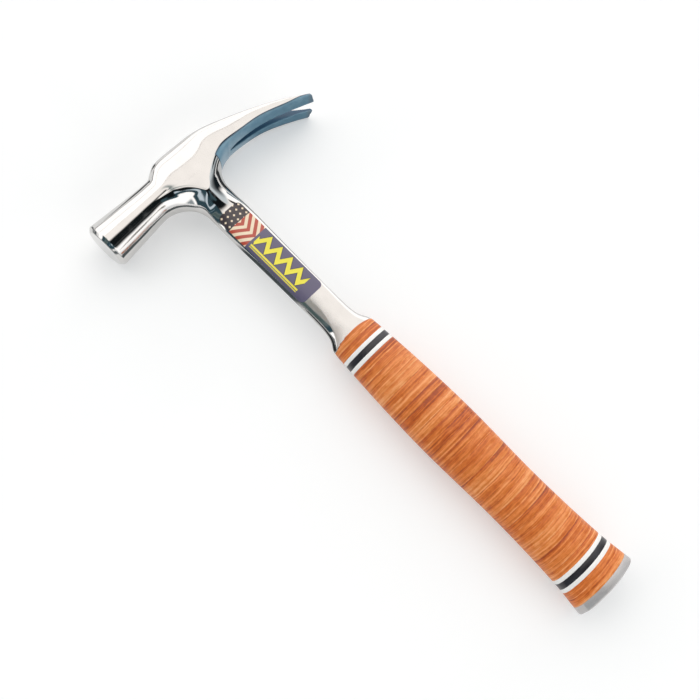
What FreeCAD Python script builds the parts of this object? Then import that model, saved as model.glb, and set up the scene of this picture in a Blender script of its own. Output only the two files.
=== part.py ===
import FreeCAD, Part
import math
import os

# A straight-claw carpenter's hammer. One steel forging runs from the striking face through the
# claw, the shank and the tang. Leather washers and spacer rings are threaded on the tang, and a
# metal butt cap holds the stack. Lengths are millimetres.
# While it is modelled, x runs along the handle from the butt plane to the crown of the head,
# y from the handle's axis to the striking face, and z across the handle from its middle plane.

# Whole hammer
overall_length = 350.0
face_reach = 67.0
claw_reach = 84.6

# Poll and striking face
face_diameter = 28.6
face_bevel = 2.2
neck_diameter = 23.3
poll_axis_drop = 15.4
poll_cant_share = 0.045

# Body and claw
claw_drop = 34.6
claw_spread = 28.6
slot_length = 57.0
slot_width = 10.4
slot_throat_width = 5.8
slot_throat_length = 12.0
slot_root_width = 1.6
slot_bevel = 0.5

# Shank, from the grip's shoulder up to the throats under the head
shank_width = 19.2
shank_thickness = 10.8
shank_root_width = 21.6
front_throat_radius = 18.0
back_throat_depth = 16.6
shoulder_width = 28.6
shoulder_thickness = 20.0
shoulder_flare_length = 22.0

# Tang
tang_width = 14.0
tang_thickness = 5.2
tang_clearance = 0.2

# Grip: its oval outline at six places, from the butt to the shoulder
butt_width = 42.8
butt_thickness = 28.6
heel_width = 37.8
heel_thickness = 26.8
waist_width = 34.8
waist_thickness = 24.8
palm_width = 36.5
palm_thickness = 25.8
finger_width = 34.2
finger_thickness = 24.2
grip_top_width = 29.6
grip_top_thickness = 21.0

# What is threaded on the tang
cap_thickness = 5.0
cap_edge = 1.0
leather_thickness = 4.8
leather_edge = 0.5
white_ring_thickness = 2.4
black_ring_thickness = 3.7
heel_leather_count = 2
main_leather_count = 33
neck_leather_count = 2

# Cuts run past what they cut by this much, and joined surfaces may differ by the tolerance
overrun = 4.0
join_tolerance = 0.01

# Polynomial degree of the smooth lofts
loft_degree = 3

# Shares of the claw's reach, then of its drop: to the top line, to the widest line and to the
# underside; then the half spread and the powers that square off the section above and below
claw_shares = (
    (-0.093, 0.000, 0.48, 0.925, 0.867, 3.2, 2.6),
    (0.000, 0.003, 0.49, 0.925, 0.881, 3.4, 2.8),
    (0.095, 0.013, 0.50, 0.870, 0.888, 3.6, 2.6),
    (0.189, 0.044, 0.52, 0.760, 0.888, 3.8, 2.6),
    (0.283, 0.095, 0.55, 0.655, 0.881, 4.0, 2.6),
    (0.378, 0.166, 0.555, 0.636, 0.860, 4.4, 2.6),
    (0.484, 0.264, 0.578, 0.648, 0.853, 5.0, 2.6),
    (0.603, 0.385, 0.612, 0.684, 0.874, 6.0, 2.8),
    (0.720, 0.522, 0.684, 0.750, 0.912, 7.0, 3.0),
    (0.839, 0.690, 0.792, 0.845, 0.956, 8.0, 3.4),
    (0.935, 0.847, 0.890, 0.930, 0.985, 9.0, 4.0),
    (1.000, 0.937, 0.965, 1.000, 0.960, 10.0, 5.0),
)

# Where the body grows out of the poll's neck: shares of the neck's reach, of the rise from the
# neck's top line to the crown, of the fall from its bottom line to the body's, of the body's
# half width, then the two powers
brow_shares = (
    (0.900, -0.30, -0.60, 0.85, 2.0, 2.0),
    (0.770, 0.09, -0.20, 0.905, 2.2, 2.0),
    (0.656, 0.52, 0.20, 0.955, 2.6, 2.2),
    (0.555, 0.84, 0.50, 0.985, 3.0, 2.3),
    (0.435, 0.98, 0.80, 1.000, 3.2, 2.5),
)

# From the poll's neck round the front throat to the shank: shares of the turn, of the depth
# added for the back throat, of the thinning from the neck to the shank, then the power
throat_shares = (
    (0.000, 0.00, 0.00, 2.0),
    (0.250, 0.36, 0.03, 2.0),
    (0.500, 0.78, 0.12, 2.0),
    (0.660, 1.00, 0.28, 1.9),
    (0.745, 0.60, 0.48, 1.8),
    (0.800, 0.28, 0.64, 1.9),
    (0.890, 0.07, 0.86, 2.3),
    (1.000, 0.00, 1.00, 2.9),
)

# Shoulder: shares of the flare's length and of the widening and thickening to the grip, then
# the power that squares off the section, from the grip's oval to the shank's flat sides
shoulder_shares = (
    (0.00, 1.00, 2.2),
    (0.20, 0.52, 2.6),
    (0.45, 0.18, 2.9),
    (0.75, 0.03, 3.1),
    (1.00, 0.00, 3.2),
)

# Places of the grip's outlines as shares of its length, and the round ends of its ovals as a
# share of the half thickness
grip_place_shares = (0.0, 0.11, 0.34, 0.615, 0.815, 1.0)
oval_end_share = 0.76

# Straight chords that stand for each of an oval's four arcs, so that a stack of many discs stays
# light; an even count keeps the oval's full width and thickness
chords_per_arc = 8

# A softened edge, as shares of its size: places along the grip and how far the outline draws in
edge_shares = ((0.0, 1.0), (0.3, 0.3), (1.0, 0.0))

# Ring order from the butt, used at both ends of the grip
ring_stack_height = 2 * white_ring_thickness + black_ring_thickness
leather_count = heel_leather_count + main_leather_count + neck_leather_count
grip_top = cap_thickness + leather_count * leather_thickness + 2 * ring_stack_height

# The front throat's arc is tangent to the shank's edge and to the underside of the neck
poll_cant_angle = math.atan(poll_cant_share)
throat_to_poll_axis = front_throat_radius + neck_diameter / 2
neck_reach = (
    shank_root_width / 2
    + front_throat_radius
    + throat_to_poll_axis * math.sin(poll_cant_angle)
)

half_height = max(face_diameter, claw_spread, butt_thickness) / 2
to_row_frame = FreeCAD.Vector(-overall_length / 2, (claw_reach - face_reach) / 2, half_height)


def between(low, high, share):
    return low + (high - low) * share


def poll_axis_point(reach):
    height = overall_length - poll_axis_drop - poll_cant_share * reach
    return FreeCAD.Vector(height, reach, 0)


def squared_section(centre, rise, fall, side, upper_power, lower_power):
    """A closed wire of eight arcs: two half super-ellipses that meet in the widest line."""

    def point(turn):
        lift = math.sin(turn)
        power = upper_power if lift >= 0 else lower_power
        along = rise if lift >= 0 else fall
        across = math.copysign(abs(math.cos(turn)) ** (2 / power), math.cos(turn))
        return centre + along * abs(lift) ** (2 / power) + side * across

    step = math.pi / 8
    arcs = []
    for corner in range(8):
        start = (2 * corner - 1) * step
        arc = Part.Arc(point(start), point(start + step), point(start + 2 * step))
        arcs.append(arc.toShape())
    return Part.Wire(arcs)


def smooth_loft(sections):
    return Part.makeLoft(sections, True, False, False, loft_degree)


def head_section(reach, top, widest, bottom, half_width, upper_power, lower_power):
    return squared_section(
        FreeCAD.Vector(widest, reach, 0),
        FreeCAD.Vector(top - widest, 0, 0),
        FreeCAD.Vector(bottom - widest, 0, 0),
        FreeCAD.Vector(0, 0, half_width),
        upper_power,
        lower_power,
    )


def poll():
    """The round poll: neck, flare, bevelled rim and flat striking face, turned on its axis."""
    axis = FreeCAD.Vector(-poll_cant_share, 1, 0).normalize()
    outward = FreeCAD.Vector(1, poll_cant_share, 0).normalize()
    start = poll_axis_point(neck_reach)
    neck_radius = neck_diameter / 2
    face_radius = face_diameter / 2
    rim_advance = (face_radius - face_bevel) * outward.y
    length = (face_reach - neck_reach - rim_advance) / axis.y
    corners = [
        start,
        start + outward * neck_radius,
        start + axis * (length - face_bevel) + outward * face_radius,
        start + axis * length + outward * (face_radius - face_bevel),
        start + axis * length,
    ]
    profile = Part.Face(Part.makePolygon(corners + corners[:1]))
    return profile.revolve(start, axis, 360)


def body_and_claw():
    """One loft from the poll's neck through the body to the claw's tips."""
    crown = overall_length
    neck_radius = neck_diameter / 2
    neck_centre = poll_axis_point(neck_reach)
    sections = []
    first_claw = claw_shares[0]
    body_widest = crown - claw_drop * first_claw[2]
    body_bottom = crown - claw_drop * first_claw[3]
    body_half_width = claw_spread / 2 * first_claw[4]
    for reach, rise, fall, width, upper_power, lower_power in brow_shares:
        sections.append(
            head_section(
                neck_reach * reach,
                between(neck_centre.x + neck_radius, crown, rise),
                between(neck_centre.x, body_widest, max(rise, 0)),
                between(neck_centre.x - neck_radius, body_bottom, fall),
                body_half_width * width,
                upper_power,
                lower_power,
            )
        )
    for reach, top, widest, bottom, spread, upper_power, lower_power in claw_shares:
        sections.append(
            head_section(
                -claw_reach * reach,
                crown - claw_drop * top,
                crown - claw_drop * widest,
                crown - claw_drop * bottom,
                claw_spread / 2 * spread,
                upper_power,
                lower_power,
            )
        )
    return smooth_loft(sections)


def nail_slot():
    """The V between the tines, steep at its throat, and a little wider at the underside."""
    root = -(claw_reach - slot_length)
    throat = root - slot_throat_length
    mouth = -(claw_reach + overrun)
    slope = (slot_width - slot_throat_width) / (slot_length - slot_throat_length)
    mouth_width = slot_width + slope * overrun
    wires = []
    for height, widening in (
        (overall_length - claw_drop - overrun, slot_bevel),
        (overall_length + overrun, 0),
    ):

        def at(reach, width, side):
            return FreeCAD.Vector(height, reach, side * (width + widening) / 2)

        arc = Part.Arc(
            at(root, slot_root_width, -1),
            FreeCAD.Vector(height, root + (slot_root_width + widening) / 2, 0),
            at(root, slot_root_width, 1),
        ).toShape()
        sides = Part.makePolygon(
            [
                at(root, slot_root_width, 1),
                at(throat, slot_throat_width, 1),
                at(mouth, mouth_width, 1),
                at(mouth, mouth_width, -1),
                at(throat, slot_throat_width, -1),
                at(root, slot_root_width, -1),
            ]
        )
        wires.append(Part.Wire([arc] + sides.Edges))
    return Part.makeLoft(wires, True, True)


def shank_section(height, half_width, half_thickness, power):
    centre = FreeCAD.Vector(height, 0, 0)
    rise = FreeCAD.Vector(0, -half_width, 0)
    side = FreeCAD.Vector(0, 0, half_thickness)
    return squared_section(centre, rise, -rise, side, power, power)


def throat_sections():
    """Sections in planes that turn about the centre of the front throat, from poll to shank."""
    neck_radius = neck_diameter / 2
    outward = FreeCAD.Vector(math.cos(poll_cant_angle), math.sin(poll_cant_angle), 0)
    pivot = poll_axis_point(neck_reach) - outward * throat_to_poll_axis
    sections = []
    for turn, deepening, thinning, power in throat_shares:
        angle = between(-poll_cant_angle, math.pi / 2, turn)
        spoke = FreeCAD.Vector(math.cos(angle), -math.sin(angle), 0)
        depth = between(neck_diameter, shank_root_width, turn) + back_throat_depth * deepening
        half_thickness = between(neck_radius, shank_thickness / 2, thinning)
        centre = pivot + spoke * (front_throat_radius + depth / 2)
        rise = spoke * (depth / 2)
        side = FreeCAD.Vector(0, 0, half_thickness)
        sections.append(squared_section(centre, rise, -rise, side, power, power))
    return sections


def shank():
    """The blade of the handle: shoulder flare at the grip, straight run, then the throats."""
    shoulder = []
    for rise, flare, power in shoulder_shares:
        half_width = between(shank_width, shoulder_width, flare) / 2
        half_thickness = between(shank_thickness, shoulder_thickness, flare) / 2
        height = grip_top + shoulder_flare_length * rise
        shoulder.append(shank_section(height, half_width, half_thickness, power))
    throats = throat_sections()
    return [
        smooth_loft(shoulder),
        Part.makeLoft([shoulder[-1], throats[-1]], True, True),
        smooth_loft(throats),
    ]


def flat_bar(width, thickness, bottom, top):
    corner = FreeCAD.Vector(bottom, -width / 2, -thickness / 2)
    return Part.makeBox(top - bottom, width, thickness, corner)


def forging():
    tang = flat_bar(tang_width, tang_thickness, 0, grip_top + overrun)
    head = body_and_claw().cut(nail_slot())
    return head.fuse([poll(), tang] + shank(), join_tolerance).Solids[0]


def grip_half_size(height, sizes):
    """Half of the width or thickness at a height: a smooth curve through the named sizes."""
    places = [grip_top * share for share in grip_place_shares]
    span = max(i for i in range(len(places) - 1) if places[i] <= height or i == 0)

    def slope(i):
        low = max(i - 1, 0)
        high = min(i + 1, len(places) - 1)
        return (sizes[high] - sizes[low]) / (places[high] - places[low])

    length = places[span + 1] - places[span]
    t = (height - places[span]) / length
    value = (
        (2 * t**3 - 3 * t**2 + 1) * sizes[span]
        + (t**3 - 2 * t**2 + t) * length * slope(span)
        + (3 * t**2 - 2 * t**3) * sizes[span + 1]
        + (t**3 - t**2) * length * slope(span + 1)
    )
    return value / 2


def grip_outline(height, inset=0):
    """The grip's oval at a height, drawn in by an inset: four tangent arcs, taken in chords."""
    half_width = grip_half_size(
        height,
        (butt_width, heel_width, waist_width, palm_width, finger_width, grip_top_width),
    ) - inset
    half_thickness = grip_half_size(
        height,
        (
            butt_thickness,
            heel_thickness,
            waist_thickness,
            palm_thickness,
            finger_thickness,
            grip_top_thickness,
        ),
    ) - inset
    end_radius = oval_end_share * half_thickness
    end_centre = half_width - end_radius
    side_radius = (end_centre**2 + half_thickness**2 - end_radius**2) / (
        2 * (half_thickness - end_radius)
    )
    lean = math.atan2(end_centre, side_radius - half_thickness)
    join_y = end_centre + end_radius * math.sin(lean)
    join_z = end_radius * math.cos(lean)

    def at(y, z):
        return FreeCAD.Vector(height, y, z)

    arcs = [
        Part.Arc(at(join_y, -join_z), at(half_width, 0), at(join_y, join_z)),
        Part.Arc(at(join_y, join_z), at(0, half_thickness), at(-join_y, join_z)),
        Part.Arc(at(-join_y, join_z), at(-half_width, 0), at(-join_y, -join_z)),
        Part.Arc(at(-join_y, -join_z), at(0, -half_thickness), at(join_y, -join_z)),
    ]
    corners = []
    for arc in arcs:
        corners += arc.toShape().discretize(chords_per_arc + 1)[:-1]
    return Part.makePolygon(corners + corners[:1])


def threaded_slice(bottom, top, low_edge=0, high_edge=0):
    """A slice of the grip with the tang's slot, and its outer edges softened where given a size."""
    outlines = []
    if low_edge:
        outlines += [
            grip_outline(bottom + low_edge * rise, low_edge * inset) for rise, inset in edge_shares
        ]
    else:
        outlines.append(grip_outline(bottom))
    if high_edge:
        outlines += [
            grip_outline(top - high_edge * rise, high_edge * inset)
            for rise, inset in reversed(edge_shares)
        ]
    else:
        outlines.append(grip_outline(top))
    slot = flat_bar(
        tang_width + 2 * tang_clearance,
        tang_thickness + 2 * tang_clearance,
        bottom - overrun,
        top + overrun,
    )
    return Part.makeLoft(outlines, True, True).cut(slot)


def grip_stack():
    """Every piece that is threaded on the tang, by name, from the butt to the shoulder."""
    order = [("butt_cap", cap_thickness)]
    leather = [f"leather_washer_{i + 1:02d}" for i in range(leather_count)]
    order += [(name, leather_thickness) for name in leather[:heel_leather_count]]
    order += ring_set("heel")
    main_end = heel_leather_count + main_leather_count
    order += [(name, leather_thickness) for name in leather[heel_leather_count:main_end]]
    order += ring_set("neck")
    order += [(name, leather_thickness) for name in leather[main_end:]]
    pieces = {}
    bottom = 0
    for name, thickness in order:
        top = bottom + thickness
        if name == "butt_cap":
            pieces[name] = threaded_slice(bottom, top, low_edge=cap_edge)
        elif name == leather[-1]:
            pieces[name] = threaded_slice(bottom, top, high_edge=leather_edge)
        else:
            pieces[name] = threaded_slice(bottom, top)
        bottom = top
    return pieces


def ring_set(place):
    return [
        (f"{place}_ring_white_lower", white_ring_thickness),
        (f"{place}_ring_black", black_ring_thickness),
        (f"{place}_ring_white_upper", white_ring_thickness),
    ]


def main():
    os.makedirs("parts", exist_ok=True)
    pieces = {"forged_head_and_shank": forging()}
    pieces.update(grip_stack())
    for name, shape in pieces.items():
        placed = shape.translated(to_row_frame)
        placed.exportStep(os.path.join("parts", name + ".step"))
        print(name, len(placed.Solids), placed.isValid(), round(placed.Volume))


main()
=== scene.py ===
import math

import bpy
import numpy as np
from mathutils import Matrix, Vector


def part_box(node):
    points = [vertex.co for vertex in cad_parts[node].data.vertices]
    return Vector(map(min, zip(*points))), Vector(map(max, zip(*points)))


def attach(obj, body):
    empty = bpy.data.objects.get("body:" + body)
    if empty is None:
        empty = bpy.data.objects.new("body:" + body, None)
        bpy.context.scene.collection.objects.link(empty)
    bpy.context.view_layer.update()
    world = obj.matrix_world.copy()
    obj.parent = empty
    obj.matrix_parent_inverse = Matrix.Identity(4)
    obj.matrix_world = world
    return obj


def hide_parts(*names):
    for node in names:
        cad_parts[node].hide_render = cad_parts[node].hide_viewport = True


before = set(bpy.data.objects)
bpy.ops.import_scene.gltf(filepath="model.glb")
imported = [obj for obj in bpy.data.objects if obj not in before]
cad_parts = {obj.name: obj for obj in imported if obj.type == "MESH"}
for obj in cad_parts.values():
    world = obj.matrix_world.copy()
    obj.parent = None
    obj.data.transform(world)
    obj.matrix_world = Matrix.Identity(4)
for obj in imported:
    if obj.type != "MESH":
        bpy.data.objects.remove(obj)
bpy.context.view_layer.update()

# A carpenter's hammer lying on its side. Lengths are millimetres in the hammer's own axes until
# a mesh is written: x from the butt to the head, y to the striking face, z up from the middle
# plane. to_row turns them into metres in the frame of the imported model.
MM = 0.001

cap_low, cap_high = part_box("butt_cap")
forging_low, forging_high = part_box("forged_head_and_shank")
hammer_origin = Vector(
    (cap_low.x, (cap_low.y + cap_high.y) / 2, (forging_low.z + forging_high.z) / 2)
)
scene = bpy.context.scene


def to_row(points):
    return np.asarray(points) * MM + np.array(hammer_origin)


# Sizes of the forging
overall_length = 350.0
face_reach = 67.0
claw_reach = 84.6
slot_root_reach = 27.6
tip_slant = 0.17
tip_inner_half = 5.3
tip_corner_slant = 0.9
tip_corner_reach = 88.7
tip_corner_norm = 1.345
body_start = 24.0
face_radius = 14.3
face_bevel = 2.2
face_set_back = 0.6
face_crown = 0.00035
neck_radius = 11.65
neck_reach = 30.1
neck_blend = 8.0
widest_share = 1.2
poll_axis_drop = 15.4
poll_cant = 0.045
grip_top = 199.6
front_throat_radius = 18.0
back_throat_radius = 16.0
back_throat_top = 327.0
throat_limits = {"top": 339, "front": 1.5, "back": 26}
ridge_start_drop = 14.0
section_change = 285
front_change_end = 297
back_change_end = 303
shank_root_half = 10.8
seat_arch = 1.2
cheek_half = 12.45
tang_width = 14.0
tang_thickness = 5.2

# Body and claw at places along y: top line, widest line, underside, half width, and the powers
# of the section above and below the widest line
claw_rows = (
    (body_start, 343.5, 334.0, 324.0, 10.6, 2.0, 2.0),
    (20.0, 346.2, 334.2, 323.0, 11.5, 2.4, 2.2),
    (16.0, 348.6, 333.6, 321.0, 12.1, 2.9, 3.0),
    (12.0, 349.7, 332.4, 319.0, 12.4, 3.2, 3.6),
    (7.0, 350.0, 330.4, 315.5, 12.5, 3.3, 4.0),
    (1.0, 350.0, 328.3, 314.5, 12.6, 3.4, 4.2),
    (-5.0, 349.8, 329.0, 316.5, 12.65, 3.5, 4.2),
    (-12.0, 349.2, 332.4, 321.0, 12.65, 3.8, 4.0),
    (-18.0, 348.2, 334.4, 324.5, 12.65, 4.1, 3.8),
    (-24.0, 346.8, 332.8, 327.0, 12.6, 4.4, 3.2),
    (-32.0, 344.2, 331.0, 328.0, 12.4, 4.8, 2.6),
    (-41.0, 340.8, 330.0, 327.6, 12.25, 5.4, 2.4),
    (-51.0, 336.6, 328.9, 326.4, 12.4, 6.2, 2.4),
    (-61.0, 331.9, 326.2, 324.1, 12.9, 7.0, 2.6),
    (-71.0, 326.2, 322.6, 320.9, 13.6, 8.0, 3.0),
    (-79.0, 320.8, 319.3, 317.9, 14.1, 9.0, 4.0),
    (-claw_reach, 317.4, 316.6, 315.5, 14.3, 9.0, 6.0),
)

# The slot's half width at places along y
slot_rows = (
    (-slot_root_reach, 0.8),
    (-32.0, 1.9),
    (-38.0, 2.7),
    (-46.0, 3.15),
    (-56.0, 3.4),
    (-66.0, 3.65),
    (-76.0, 4.15),
    (-claw_reach, 5.2),
)

# Back throat: height of its slope at places along x
back_ridge_rows = (
    (262.0, 5.4),
    (274.0, 5.4),
    (284.0, 5.4),
    (292.0, 5.5),
    (297.0, 5.8),
    (303.0, 6.7),
    (309.0, 9.1),
    (315.8, 12.6),
    (321.0, 13.3),
    (330.0, 13.6),
)

# Back throat: at shares of a turn from the shank to the claw, how far its slope runs in and
# the power of its section
back_slope_rows = (
    (0.0, 10.8, 2.3),
    (0.1, 11.6, 2.1),
    (0.25, 12.4, 1.7),
    (0.376, 12.9, 1.5),
    (0.489, 11.0, 1.5),
    (0.628, 7.4, 1.6),
    (0.744, 5.8, 1.8),
    (0.87, 5.0, 2.0),
    (1.0, 4.6, 2.0),
)

# Front throat: at shares of a turn from the poll to the shank, its slope's height and length
# and the power of its section
front_slope_rows = (
    (0.0, 11.65, 11.65, 2.0),
    (0.08, 11.62, 11.7, 2.0),
    (0.17, 11.75, 11.9, 1.95),
    (0.25, 12.4, 12.6, 1.8),
    (0.333, 13.25, 13.3, 1.6),
    (0.43, 13.4, 13.3, 1.5),
    (0.481, 13.1, 13.3, 1.5),
    (0.515, 12.7, 13.3, 1.5),
    (0.56, 11.3, 13.1, 1.5),
    (0.605, 9.6, 12.7, 1.55),
    (0.65, 8.3, 12.3, 1.65),
    (0.70, 7.2, 11.9, 1.8),
    (0.77, 6.2, 11.4, 2.1),
    (0.853, 5.65, 11.0, 2.5),
    (0.944, 5.42, 10.75, 2.9),
    (1.0, 5.4, 10.7, 3.0),
)

# Shank at places along x: half width, half thickness, and the power of its section
shank_rows = (
    (196.0, 15.2, 10.9, 2.1),
    (grip_top, 14.3, 10.05, 2.2),
    (203.5, 12.0, 7.8, 2.5),
    (209.0, 10.3, 6.1, 3.0),
    (215.0, 9.75, 5.6, 3.4),
    (222.0, 9.6, 5.42, 3.8),
    (240.0, 9.65, 5.4, 4.0),
    (262.0, 9.9, 5.4, 4.0),
    (276.0, 10.25, 5.4, 3.6),
    (289.0, 10.65, 5.4, 3.0),
    (300.0, 10.8, 5.4, 2.5),
    (306.0, 10.8, 5.4, 2.3),
    (312.0, 10.8, 5.4, 2.2),
)


def spline(rows, column=1):
    """A natural cubic spline through one column of a table, held level past its ends."""
    table = np.array(sorted(rows), float)
    places, values = table[:, 0], table[:, column]
    n = len(places)
    steps = np.diff(places)
    slopes = np.diff(values) / steps
    matrix = np.zeros((n, n))
    right = np.zeros(n)
    matrix[0, 0] = matrix[-1, -1] = 1
    for i in range(1, n - 1):
        matrix[i, i - 1 : i + 2] = steps[i - 1], 2 * (steps[i - 1] + steps[i]), steps[i]
        right[i] = 6 * (slopes[i] - slopes[i - 1])
    bends = np.linalg.solve(matrix, right)

    def at(x):
        x = np.clip(x, places[0], places[-1])
        i = np.clip(np.searchsorted(places, x) - 1, 0, n - 2)
        h = steps[i]
        a = (places[i + 1] - x) / h
        b = 1 - a
        curve = ((a**3 - a) * bends[i] + (b**3 - b) * bends[i + 1]) * h * h / 6
        return a * values[i] + b * values[i + 1] + curve

    return at


claw_top, claw_widest, claw_bottom, claw_half, claw_upper, claw_lower = (
    spline(claw_rows, column) for column in range(1, 7)
)
slot_half = spline(slot_rows)
back_ridge = spline(back_ridge_rows)
front_ridge, front_length, front_power = (
    spline(front_slope_rows, column) for column in range(1, 4)
)
back_slope, back_power = (spline(back_slope_rows, column) for column in range(1, 3))
shank_half, shank_thick, shank_power = (spline(shank_rows, column) for column in range(1, 4))


def smooth_max(a, b, radius):
    overlap = np.maximum(radius - np.abs(a - b), 0) / radius
    return np.maximum(a, b) + overlap**3 * radius / 6


def smooth_min(a, b, radius):
    return -smooth_max(-a, -b, radius)


def smooth_step(value, low, high):
    t = np.clip((value - low) / (high - low), 0, 1)
    return t * t * (3 - 2 * t)


def rounded_distance(u, v, u_size, v_size, power):
    """Roughly the distance to a super-ellipse; u and v are measured from its centre."""
    u = np.maximum(u, 0) / u_size
    v = np.abs(v) / v_size
    h = (u**power + v**power + 1e-9) ** (1 / power)
    u_slope = (u / h) ** (power - 1) / u_size
    v_slope = (v / h) ** (power - 1) / v_size
    return (h - 1) / np.sqrt(u_slope**2 + v_slope**2 + 1e-9)


def body_distance(x, y, z):
    """The head's body and claw, from the table of sections, with slanted and cornered tips."""
    top, widest, bottom = claw_top(y), claw_widest(y), claw_bottom(y)
    above = x >= widest
    up = np.abs(x - widest)
    size = np.where(above, top - widest, widest - bottom)
    power = np.where(above, claw_upper(y), claw_lower(y))
    distance = rounded_distance(up, z, size, claw_half(y), power)
    distance = smooth_max(distance, y - body_start, 0.5)
    tip = -y - claw_reach + tip_slant * (np.abs(z) - tip_inner_half)
    tip = tip / math.hypot(1, tip_slant)
    corner = (np.abs(z) - y * tip_corner_slant - tip_corner_reach) / tip_corner_norm
    distance = smooth_max(distance, tip, 0.35)
    return smooth_max(distance, corner, 0.8)


def slot_distance(x, y, z):
    """The nail slot: two splayed walls that meet in a round root."""
    root = slot_half(-slot_root_reach)
    wall = np.abs(z) - slot_half(y)
    end = np.hypot(z, y + slot_root_reach + root) - root
    return np.where(y < -slot_root_reach - root, wall, end)


def poll_distance(x, y, z):
    """The poll: a round neck that swells to the bevelled, slightly crowned face."""
    norm = math.hypot(1, poll_cant)
    along = (y - poll_cant * (x - overall_length + poll_axis_drop)) / norm
    across = (x - overall_length + poll_axis_drop + poll_cant * y) / norm
    radial = np.hypot(across, z)
    end = face_reach - face_set_back
    share = smooth_max(along - neck_reach, 0, neck_blend) / (end - face_bevel - neck_reach)
    radius = neck_radius + (face_radius - neck_radius) * np.minimum(share, widest_share)
    side = radial - radius
    bevel = (radial - face_radius + along - end + face_bevel) / math.sqrt(2)
    face = along - end + face_crown * radial**2
    distance = smooth_max(side, bevel, 0.7)
    distance = smooth_max(distance, face, 0.5)
    return smooth_max(distance, -along - 2, 1)


def throat_distance(x, y, z):
    """The shank, and the two scooped throats that carry it up into the head."""
    cant_angle = math.atan(poll_cant)
    to_axis = front_throat_radius + neck_radius
    axis_height = overall_length - poll_axis_drop - poll_cant * neck_reach
    pivot_x = axis_height - to_axis * math.cos(cant_angle)
    pivot_y = neck_reach - to_axis * math.sin(cant_angle)
    dx, dy = x - pivot_x, pivot_y - y
    low_dx = dx + ridge_start_drop
    turn = np.arctan2(dy, np.maximum(low_dx, 0)) / (math.pi / 2)
    round_front = np.hypot(np.maximum(dx, 0), dy) - front_throat_radius
    inside_front = np.where(dx > 0, round_front, shank_half(x) - y)
    front_high = np.where(low_dx > 0, front_ridge(turn), shank_thick(x))
    to_shank = smooth_step(turn, 0.75, 1.0)
    front_size = front_length(turn) + (shank_half(x) - front_length(turn)) * to_shank
    to_throat = smooth_step(x, section_change, front_change_end)
    power = shank_power(x) + (front_power(turn) - shank_power(x)) * to_throat
    front = rounded_distance(front_size - inside_front, z, front_size, front_high, power)

    back_x = back_throat_top - back_throat_radius
    back_y = -shank_root_half - back_throat_radius
    ex, ey = np.maximum(x - back_x, 0), y - back_y
    low_ex = x - back_x + ridge_start_drop
    back_turn = np.arctan2(np.maximum(low_ex, 0), np.maximum(ey, 0)) / (math.pi / 2)
    round_back = np.hypot(ex, np.maximum(ey, 0)) - back_throat_radius
    inside_back = np.where(ex > 0, round_back, y + shank_half(x))
    to_claw = smooth_step(back_turn, 0.0, 0.25)
    back_size = shank_half(x) + (back_slope(back_turn) - shank_half(x)) * to_claw
    to_throat = smooth_step(x, section_change, back_change_end)
    power = shank_power(x) + (back_power(back_turn) - shank_power(x)) * to_throat
    back = rounded_distance(back_size - inside_back, z, back_size, back_ridge(x), power)

    # The edge between the two slopes is sharp on the shank and rounder in the throats
    distance = smooth_max(front, back, 0.05 + 0.8 * smooth_step(x, 296, 312))
    # The cheek's plane leans a little, and sinks into the head at its top and near the claw
    sunk = 4.0 * smooth_step(x, 324, throat_limits["top"])
    sunk = sunk + 2.5 * smooth_step(-y, 13, throat_limits["back"]) + 0.022 * (331 - x)
    distance = smooth_max(distance, np.abs(z) - cheek_half + sunk, 0.6)
    distance = np.maximum(distance, y - pivot_y - throat_limits["front"])
    distance = np.maximum(distance, x - throat_limits["top"])
    distance = np.maximum(distance, -y - throat_limits["back"])
    return np.maximum(distance, seat_line(y) - x)


def seat_line(y):
    """Where the grip meets the shank's shoulder: arched, lowest at the two edges."""
    return grip_top - seat_arch * (y / shank_root_half) ** 2


def forging_distance(x, y, z):
    distance = smooth_min(throat_distance(x, y, z), poll_distance(x, y, z), 0.3)
    distance = smooth_min(distance, body_distance(x, y, z), 1.2)
    return smooth_max(distance, -slot_distance(x, y, z), 0.7)


def gradient(field, points, step=0.15):
    """The slope of a field at points, from differences over a step each way."""
    result = np.empty_like(points)
    for axis in range(3):
        shift = np.zeros(3)
        shift[axis] = step
        ahead = field(*(points + shift).T)
        behind = field(*(points - shift).T)
        result[:, axis] = (ahead - behind) / (2 * step)
    return result


def settle(field, points, rounds, reach):
    """Moves points onto the zero surface of a field along its gradient."""
    for _ in range(rounds):
        slope = gradient(field, points)
        square = (slope**2).sum(1)
        move = field(*points.T) / np.maximum(square, 0.05)
        step = slope * move[:, None]
        size = np.linalg.norm(step, axis=1, keepdims=True)
        points = points - step * np.minimum(1, reach / np.maximum(size, 1e-9))
    return points


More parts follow.
